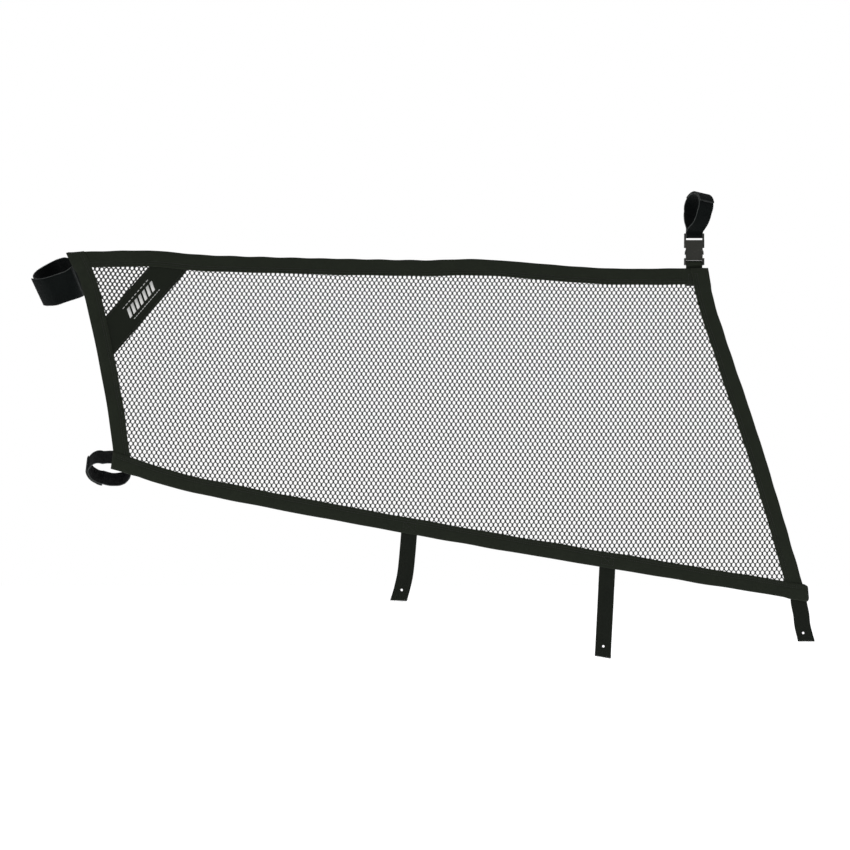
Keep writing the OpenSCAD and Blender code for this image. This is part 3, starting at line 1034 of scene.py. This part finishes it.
tail_y = -UPPER_R - STRAP_T / 2 - LAYER_GAP - TAIL_T / 2
section = np.vstack([resample([[UPPER_HINGE + 2.8, tail_y], [0, tail_y]], 3)[:-1],
                     arc((0, 0), -tail_y, 270, 204, 2.2)])
sprung = smooth((np.arange(len(section)) - len(section) + 11) / 11)[:, None]
section *= 1 + SPRING * sprung
grid = loop_grid(section, across)
grid[..., 2] += TAIL_RISE * smooth(np.arange(len(section)) / len(section))[:, None]
grid = upper.at(tilt_loop(crumple(grid, 67, 0.35)))
hinge = upper.at([UPPER_HINGE, tail_y, 0])
strap_piece("upper_tail_strap", grid, TAIL_HALF,
            ["net", "upper_tail", hinge, hinge - UPPER_BEND * upper.x],
            "front_upper_tail")

# ---------------------------------------------------------------- front lower strap and tail
LOWER_R, LOWER_REACH = 17.9, 52
SEAM_BEND, LOWER_BEND = 14, 7  # lengths of the bends at the loop's seam and the tail's hinge
TAIL_ASKEW = 0.4  # sideways shift of the tail on its loop
lower_z = joint_axis("lower_loop_swing")
lower_x = unit((lower_z[1], -lower_z[0], 0))
lower = Axes(joint_at("lower_loop_swing") - LOWER_REACH * lower_x, lower_x, lower_z)
across = np.linspace(0, 1, STRAP_LANES) * STRAP_WIDE
tangent = math.degrees(math.asin(LOWER_R / LOWER_REACH))
flank = [[19, 17.4], [33, 14.6], [43.5, 9.8], [49.8, 4.8], [LOWER_REACH - 0.6, 1.25]]
touch = [LOWER_R * math.sin(math.radians(tangent)), LOWER_R * math.cos(math.radians(tangent))]
lower_flank = curve_through([touch] + flank, 2.6)
LEAF_SHIFT = [[-22, -6, 8, 20, 33, 43, 50, 52], [-8, -6, -1, 1.5, 4, 4.5, 1.5, 0]]  # at x, of y


def taller(section):
    """The loop hangs more open than its round, and its lower leaf (+y) slopes to the seam."""
    out = section * [1, 1.13] - [0, 1.5] * smooth((48 - section[:, :1]) / 20)
    shift = np.interp(out[:, 0], *LEAF_SHIFT)
    out[:, 1] += shift * smooth((out[:, 1] + 17) / 26)
    return out


section = np.vstack([(lower_flank * [1, -1])[::-1],
                     arc((0, 0), LOWER_R, 270 + tangent, 90 - tangent, 2.2)[1:-1], lower_flank])
section = taller(section)
grid = lower.at(crumple(loop_grid(section, across), 71, 0.45))
seam_middle = lower.at([LOWER_REACH, 0, STRAP_WIDE / 2])
strap_piece("lower_strap", grid, PILE_HALF,
            ["net", "lower_loop", seam_middle, seam_middle - SEAM_BEND * lower.x],
            "front_lower_strap", ends=False)

tail_r = LOWER_R + STRAP_T / 2 + LAYER_GAP + 0.4 + TAIL_T / 2  # 0.4 for the leaf's slope
section = taller(arc((0, 0), tail_r, 204, 76, 2.2))
grid = lower.at(crumple(loop_grid(section, across + TAIL_ASKEW), 73, 0.3))
hinge = joint_at("lower_tail_peel") + lower.z * STRAP_WIDE / 2
ahead = unit(np.cross(lower.z, hinge - lower.at([0, 0, STRAP_WIDE / 2]))) * -1
strap_piece("lower_tail_strap", grid, TAIL_HALF,
            ["lower_loop", "lower_tail", hinge, hinge + LOWER_BEND * ahead],
            "front_lower_tail")

# the sewn root: flat behind the corner, then turned edge-on to meet the loop's seam
root_low = node_mm("front_lower_root")[0] - CORNER
PLATE_RISE, PLATE_HIGH, PLATE_END = 10, 33, 91  # of the flat part behind the corner
plate_y = NET_BACK + STRAP_T / 2
plate_z = root_low[2] + PLATE_RISE + np.linspace(0, 1, STRAP_LANES) * PLATE_HIGH
grid = [grid_of(x, plate_y, plate_z) for x in np.linspace(root_low[0] + 1, PLATE_END, 5)]
seam = lower.at(grid_of(LOWER_REACH + 0.8, 0.0, across))
start = grid[-1]
turn = grid_of(PLATE_END + 6.5, plate_y + 2, plate_z)
approach = seam + (1.5, -5, 0)
for t in np.linspace(0, 1, 15)[1:]:
    grid.append((1 - t) ** 3 * start + 3 * (1 - t) ** 2 * t * turn
                + 3 * (1 - t) * t * t * approach + t ** 3 * seam)
grid = np.array(grid)
root = cloth("lower_strap_root", grid, PILE_HALF, PILE)
finish_piece(root, "net", "strap", ["front_lower_root"])


# ---------------------------------------------------------------- anchor web
def box_stitch(name, centre, size, y, face, tilt=0.0):
    """A stitched rectangle with a cross in it, on a face that looks along +y or -y."""
    c, s = math.cos(tilt), math.sin(tilt)
    w, h = size[0] / 2, size[1] / 2
    corners = [(-w, -h), (w, -h), (w, h), (-w, h), (-w, -h), (w, h), (w, -h), (-w, h)]
    pts = np.array([[centre[0] + a * c - b * s, y, centre[1] + a * s + b * c]
                    for a, b in corners])
    parts = []
    for a, b in zip(pts[:-1], pts[1:]):
        line = resample([a, b], 1.5)
        parts.append(stitches(name, line, np.tile([0.0, face, 0.0], (len(line), 1)), 2.9, 2.4))
    return sewn(join(parts, name))


bar = joint_at("plug_pivot")
ANCHOR_LOW, ANCHOR_LEAF = -55, 0.72
ANCHOR_BOX = -42  # height of the stitched boxes
EYE_DEEP, EYE_HIGH = 2.9, 4.5  # half sizes of the slack fold round the bar
leaf = [[ANCHOR_LEAF, ANCHOR_LOW - bar[2]], [ANCHOR_LEAF, -12], [ANCHOR_LEAF + 0.1, -6.5]]
eye = arc((0, 0), 1, -32, 90, 0.16) * [EYE_DEEP, EYE_HIGH]
right = np.vstack([curve_through(leaf + [eye[0].tolist()], 1.6)[:-1], eye])
section = np.vstack([right, (right * [-1, 1])[::-1][1:]])
width = np.linspace(-0.5, 0.5, WEB_LANES) * BORDER
grid = grid_of(bar[0] + width, bar[1] + section[:, :1], bar[2] + section[:, 1:])
anchor = cloth("anchor_webbing", grid[:, ::-1], WEB_HALF, WEB)
finish_piece(anchor, "net", "webbing", ["anchor_web"])
box_stitch("anchor_box_back", (bar[0], ANCHOR_BOX), (20, 17), bar[1] + 1.4, 1)
box_stitch("anchor_box_front", (bar[0], ANCHOR_BOX), (20, 13), -NET_BACK - THREAD_OFF, -1)

# ---------------------------------------------------------------- rear loop and tail
bar = joint_at("rear_loop_pivot")
REAR_R, REAR_REACH, REAR_EYE = 20.4, 47, 3.15
REAR_BEND = (1.2, 0.5, 6.5)  # from the tail's hinge to where its bend ends
REAR_SKEW, REAR_TURNED = 0.08, 0.66  # share of the record's turn that the soft loop takes
peel = joint_axis("rear_tail_peel")
REAR_LEAN = math.asin(-peel[2] / math.hypot(peel[0], peel[2]))
REAR_TURN = math.asin(peel[1])


def over_bar(section):
    """Grid of a strap from its (depth, height) over the bar, turned and leaning with height."""
    section = np.asarray(section, float)
    w = np.linspace(-0.5, 0.5, WEB_LANES)[None] * BORDER
    y, h = section[:, :1], section[:, 1:]
    turn = REAR_TURN * REAR_TURNED * smooth((h - 2) / 17)
    lean = REAR_LEAN * smooth((h + 2) / 14)
    x = w * np.cos(turn) - y * (np.sin(turn) + REAR_SKEW * smooth((h - 4) / 20))
    depth = w * np.sin(turn) + y * np.cos(turn)
    return bar + grid_of(x * np.cos(lean) + h * np.sin(lean), depth,
                         h * np.cos(lean) - x * np.sin(lean))


def ring_at(radius, start, stop, step=2.2):
    """Part of the loop's round end: 180 degrees is its top and 270 its front."""
    a = arc((0, 0), radius, start, stop, step)
    return np.stack([a[:, 1], REAR_REACH - a[:, 0]], 1)


half = math.asin(REAR_R / REAR_REACH)
touch = [REAR_R * math.cos(half), REAR_REACH - REAR_R * math.sin(half)]
eye = arc((0, 0), REAR_EYE, 20, -90, 0.8)
eye[:, 1] *= np.where(eye[:, 1] < 0, 1.3, 1)  # slack under the bar
neck = curve_through([touch, [17.4, 30.5], [13.4, 20.8], [8.2, 12.2], [3.0, 6.4],
                      eye[0].tolist()], 2.0)[:-1]
down = np.vstack([neck, eye])
back_side = np.vstack([ring_at(REAR_R, 176, 90 - math.degrees(half)), down[1:]])
front_side = back_side * [-1, 1]
section = np.vstack([back_side, front_side[::-1][1:]])
grid = over_bar(section)
strap_piece("rear_strap", grid, PILE_HALF, ["rear_loop"], "rear_loop_strap",
            length=1.2, ends=False)

section = ring_at(REAR_R + STRAP_T / 2 + LAYER_GAP + TAIL_T / 2, 248, 126)
grid = crumple(over_bar(section), 79, 0.25)
hinge = joint_at("rear_tail_peel")
strap_piece("rear_tail_strap", grid, TAIL_HALF,
            ["rear_loop", "rear_tail", hinge, hinge + REAR_BEND],
            "rear_loop_tail", length=1.2)

# ---------------------------------------------------------------- bottom tabs
TAB_Y = NET_BACK + WEB_HALF
HOLE_R = 2.5
TAB_STEP = 2.5
TAB_BEND = (0.4, 6)  # start and end of the bend, below the border's edge
tabs = {  # centre line from the top of the sewn root, hole, and slope of the cut end
    "front": ([[566, -443], [565, -466], [560, -522], [555, -549], [547.8, -574.7]],
              (553, -557), -0.05),
    "middle": ([[893, -499], [892.4, -522], [888.6, -598], [885, -668]], (886, -650), -0.17),
    "rear": ([[1208.5, -551], [1208.5, -575], [1212.6, -597], [1214.8, -616], [1221.3, -642]],
             (1216, -628), 0.0),
}


def pierce(obj, centre, radius):
    """A round hole along y."""
    mesh = bpy.data.meshes.new("punch")
    tool = bmesh.new()
    bmesh.ops.create_cone(tool, cap_ends=True, segments=28, radius1=radius / 1000,
                          radius2=radius / 1000, depth=0.012)
    tool.to_mesh(mesh)
    punch = new_object("punch", mesh)
    punch.matrix_world = (Matrix.Translation(metres([centre[0], TAB_Y, centre[1]]))
                          @ Matrix.Rotation(math.radians(90), 4, "X"))
    cut = obj.modifiers.new("hole", "BOOLEAN")
    cut.operation, cut.object, cut.solver = "DIFFERENCE", punch, "EXACT"
    select_only([obj])
    bpy.ops.object.modifier_apply(modifier=cut.name)
    bpy.data.objects.remove(punch)


def melted_rim(name, centre, radius, turns=36, ring=8):
    """The hole's hot-cut rim: an uneven bead on both faces."""
    points, faces = [], []
    for k in range(turns):
        w = 2 * math.pi * k / turns
        swell = 1 + 0.25 * math.sin(3 * w + 1) * math.sin(5 * w)
        for m in range(ring):
            v = 2 * math.pi * m / ring
            r = radius - 0.15 + 0.5 * swell * math.cos(v)
            points.append([centre[0] + r * math.cos(w),
                           TAB_Y + (WEB_HALF + 0.22 * swell) * math.sin(v),
                           centre[1] + r * math.sin(w)])
    for k in range(turns):
        for m in range(ring):
            a, b = k * ring, (k + 1) % turns * ring
            n = (m + 1) % ring
            faces.append([a + m, a + n, b + n, b + m])
    return add_mesh(name, np.array(points), faces, MELTED)


w = np.linspace(-0.5, 0.5, WEB_LANES) * BORDER
for name, (line, hole, slope) in tabs.items():
    centre = curve_through(line, TAB_STEP)
    tangent = unit(np.gradient(centre, axis=0))
    sideways = np.stack([-tangent[:, 1], tangent[:, 0]], 1)
    # the last points slide along the tab, to give the cut its slope
    last = smooth((np.arange(len(centre)) - len(centre) + 13) / 12)[:, None]
    (tx, tz), (nx, nz) = tangent[-1], sideways[-1]
    slide = last * w * (slope * nx - nz) / (tz - slope * tx)
    run = np.arange(len(centre))[:, None] * TAB_STEP
    waves = 0.5 * wobble(run, len(name) * 9, 90) + 0.25 * wobble(run, len(name) * 4, 40) * w / 12
    grid = grid_of(centre[:, :1] + w * sideways[:, :1] + slide * tx,
                   TAB_Y + smooth((run - 34) / 30) * waves,
                   centre[:, 1:] + w * sideways[:, 1:] + slide * tz)
    tab = cloth(name + "_tab", grid[:, ::-1], WEB_HALF, TAB_WEB)
    pierce(tab, hole, HOLE_R)
    joint, body = f"tab_{name}_fold", f"tab_{name}"
    at = joint_at(joint)
    below = np.array([-joint_axis(joint)[2], 0, joint_axis(joint)[0]]) * -1
    bend_piece(tab, "net", body, *(at + d * below for d in TAB_BEND), "webbing",
               [body + "_root", body])
    finish_piece(melted_rim(name + "_tab_hole_rim", hole, HOLE_R), body, "webbing")
    finish_piece(fuzz(name + "_tab_fray", grid[-4:], 1.3, 0.6), body, "webbing")
    middle = (line[0][0] - 0.4, line[0][1] - 9.5)
    box_stitch(name + "_tab_box_back", middle, (20, 14), TAB_Y + WEB_HALF + THREAD_OFF, 1)
    box_stitch(name + "_tab_box_front", middle, (20, 14), -NET_BACK - THREAD_OFF, -1,
               math.radians(-9))

# ---------------------------------------------------------------- buckle
EDGE_ROUNDING = 0.0006  # metres
for name in ("buckle_plug", "buckle_socket", "latch_arm_front", "latch_arm_rear"):
    node = frame["nodes"][name]
    node.data.materials.clear()
    node.data.materials.append(PLASTIC)
    for poly in node.data.polygons:
        poly.use_smooth = True
    rounding = node.modifiers.new("rounding", "BEVEL")
    rounding.width, rounding.segments, rounding.limit_method = EDGE_ROUNDING, 3, "ANGLE"
    rounding.angle_limit = math.radians(35)
    rounding.use_clamp_overlap = True
    node.modifiers.new("shading", "WEIGHTED_NORMAL").keep_sharp = True

# ---------------------------------------------------------------- floor and finish
lowest = cad_box[0][2]
FLOOR_SIZE, FLOOR_MIDDLE, FLOOR_POINTS, FLOOR_GLOW = 9.0, 0.6, 19, 0.92
floor_look = plain_material("studio_floor", 0.9, 0.1, (300, 3), (0.0002, 0.2),
                            (0.93, 0.93, 0.93), (0.97, 0.97, 0.97))
floor_look.bsdf.inputs["Emission Color"].default_value = (1, 1, 1, 1)
floor_look.bsdf.inputs["Emission Strength"].default_value = FLOOR_GLOW
spread = np.linspace(-0.5, 0.5, FLOOR_POINTS) * FLOOR_SIZE
grid_x, grid_y = np.meshgrid(spread + FLOOR_MIDDLE, spread, indexing="ij")
floor_z = lowest - FLOOR_DROP / 1000
points = grid_of(grid_x, grid_y, floor_z).reshape(-1, 3)
index = np.arange(FLOOR_POINTS ** 2).reshape(FLOOR_POINTS, FLOOR_POINTS)
quads = np.stack([index[:-1, :-1], index[1:, :-1], index[1:, 1:], index[:-1, 1:]], -1)
floor = add_mesh("floor", local_mm(points), quads.reshape(-1, 4).tolist(), floor_look.mat)
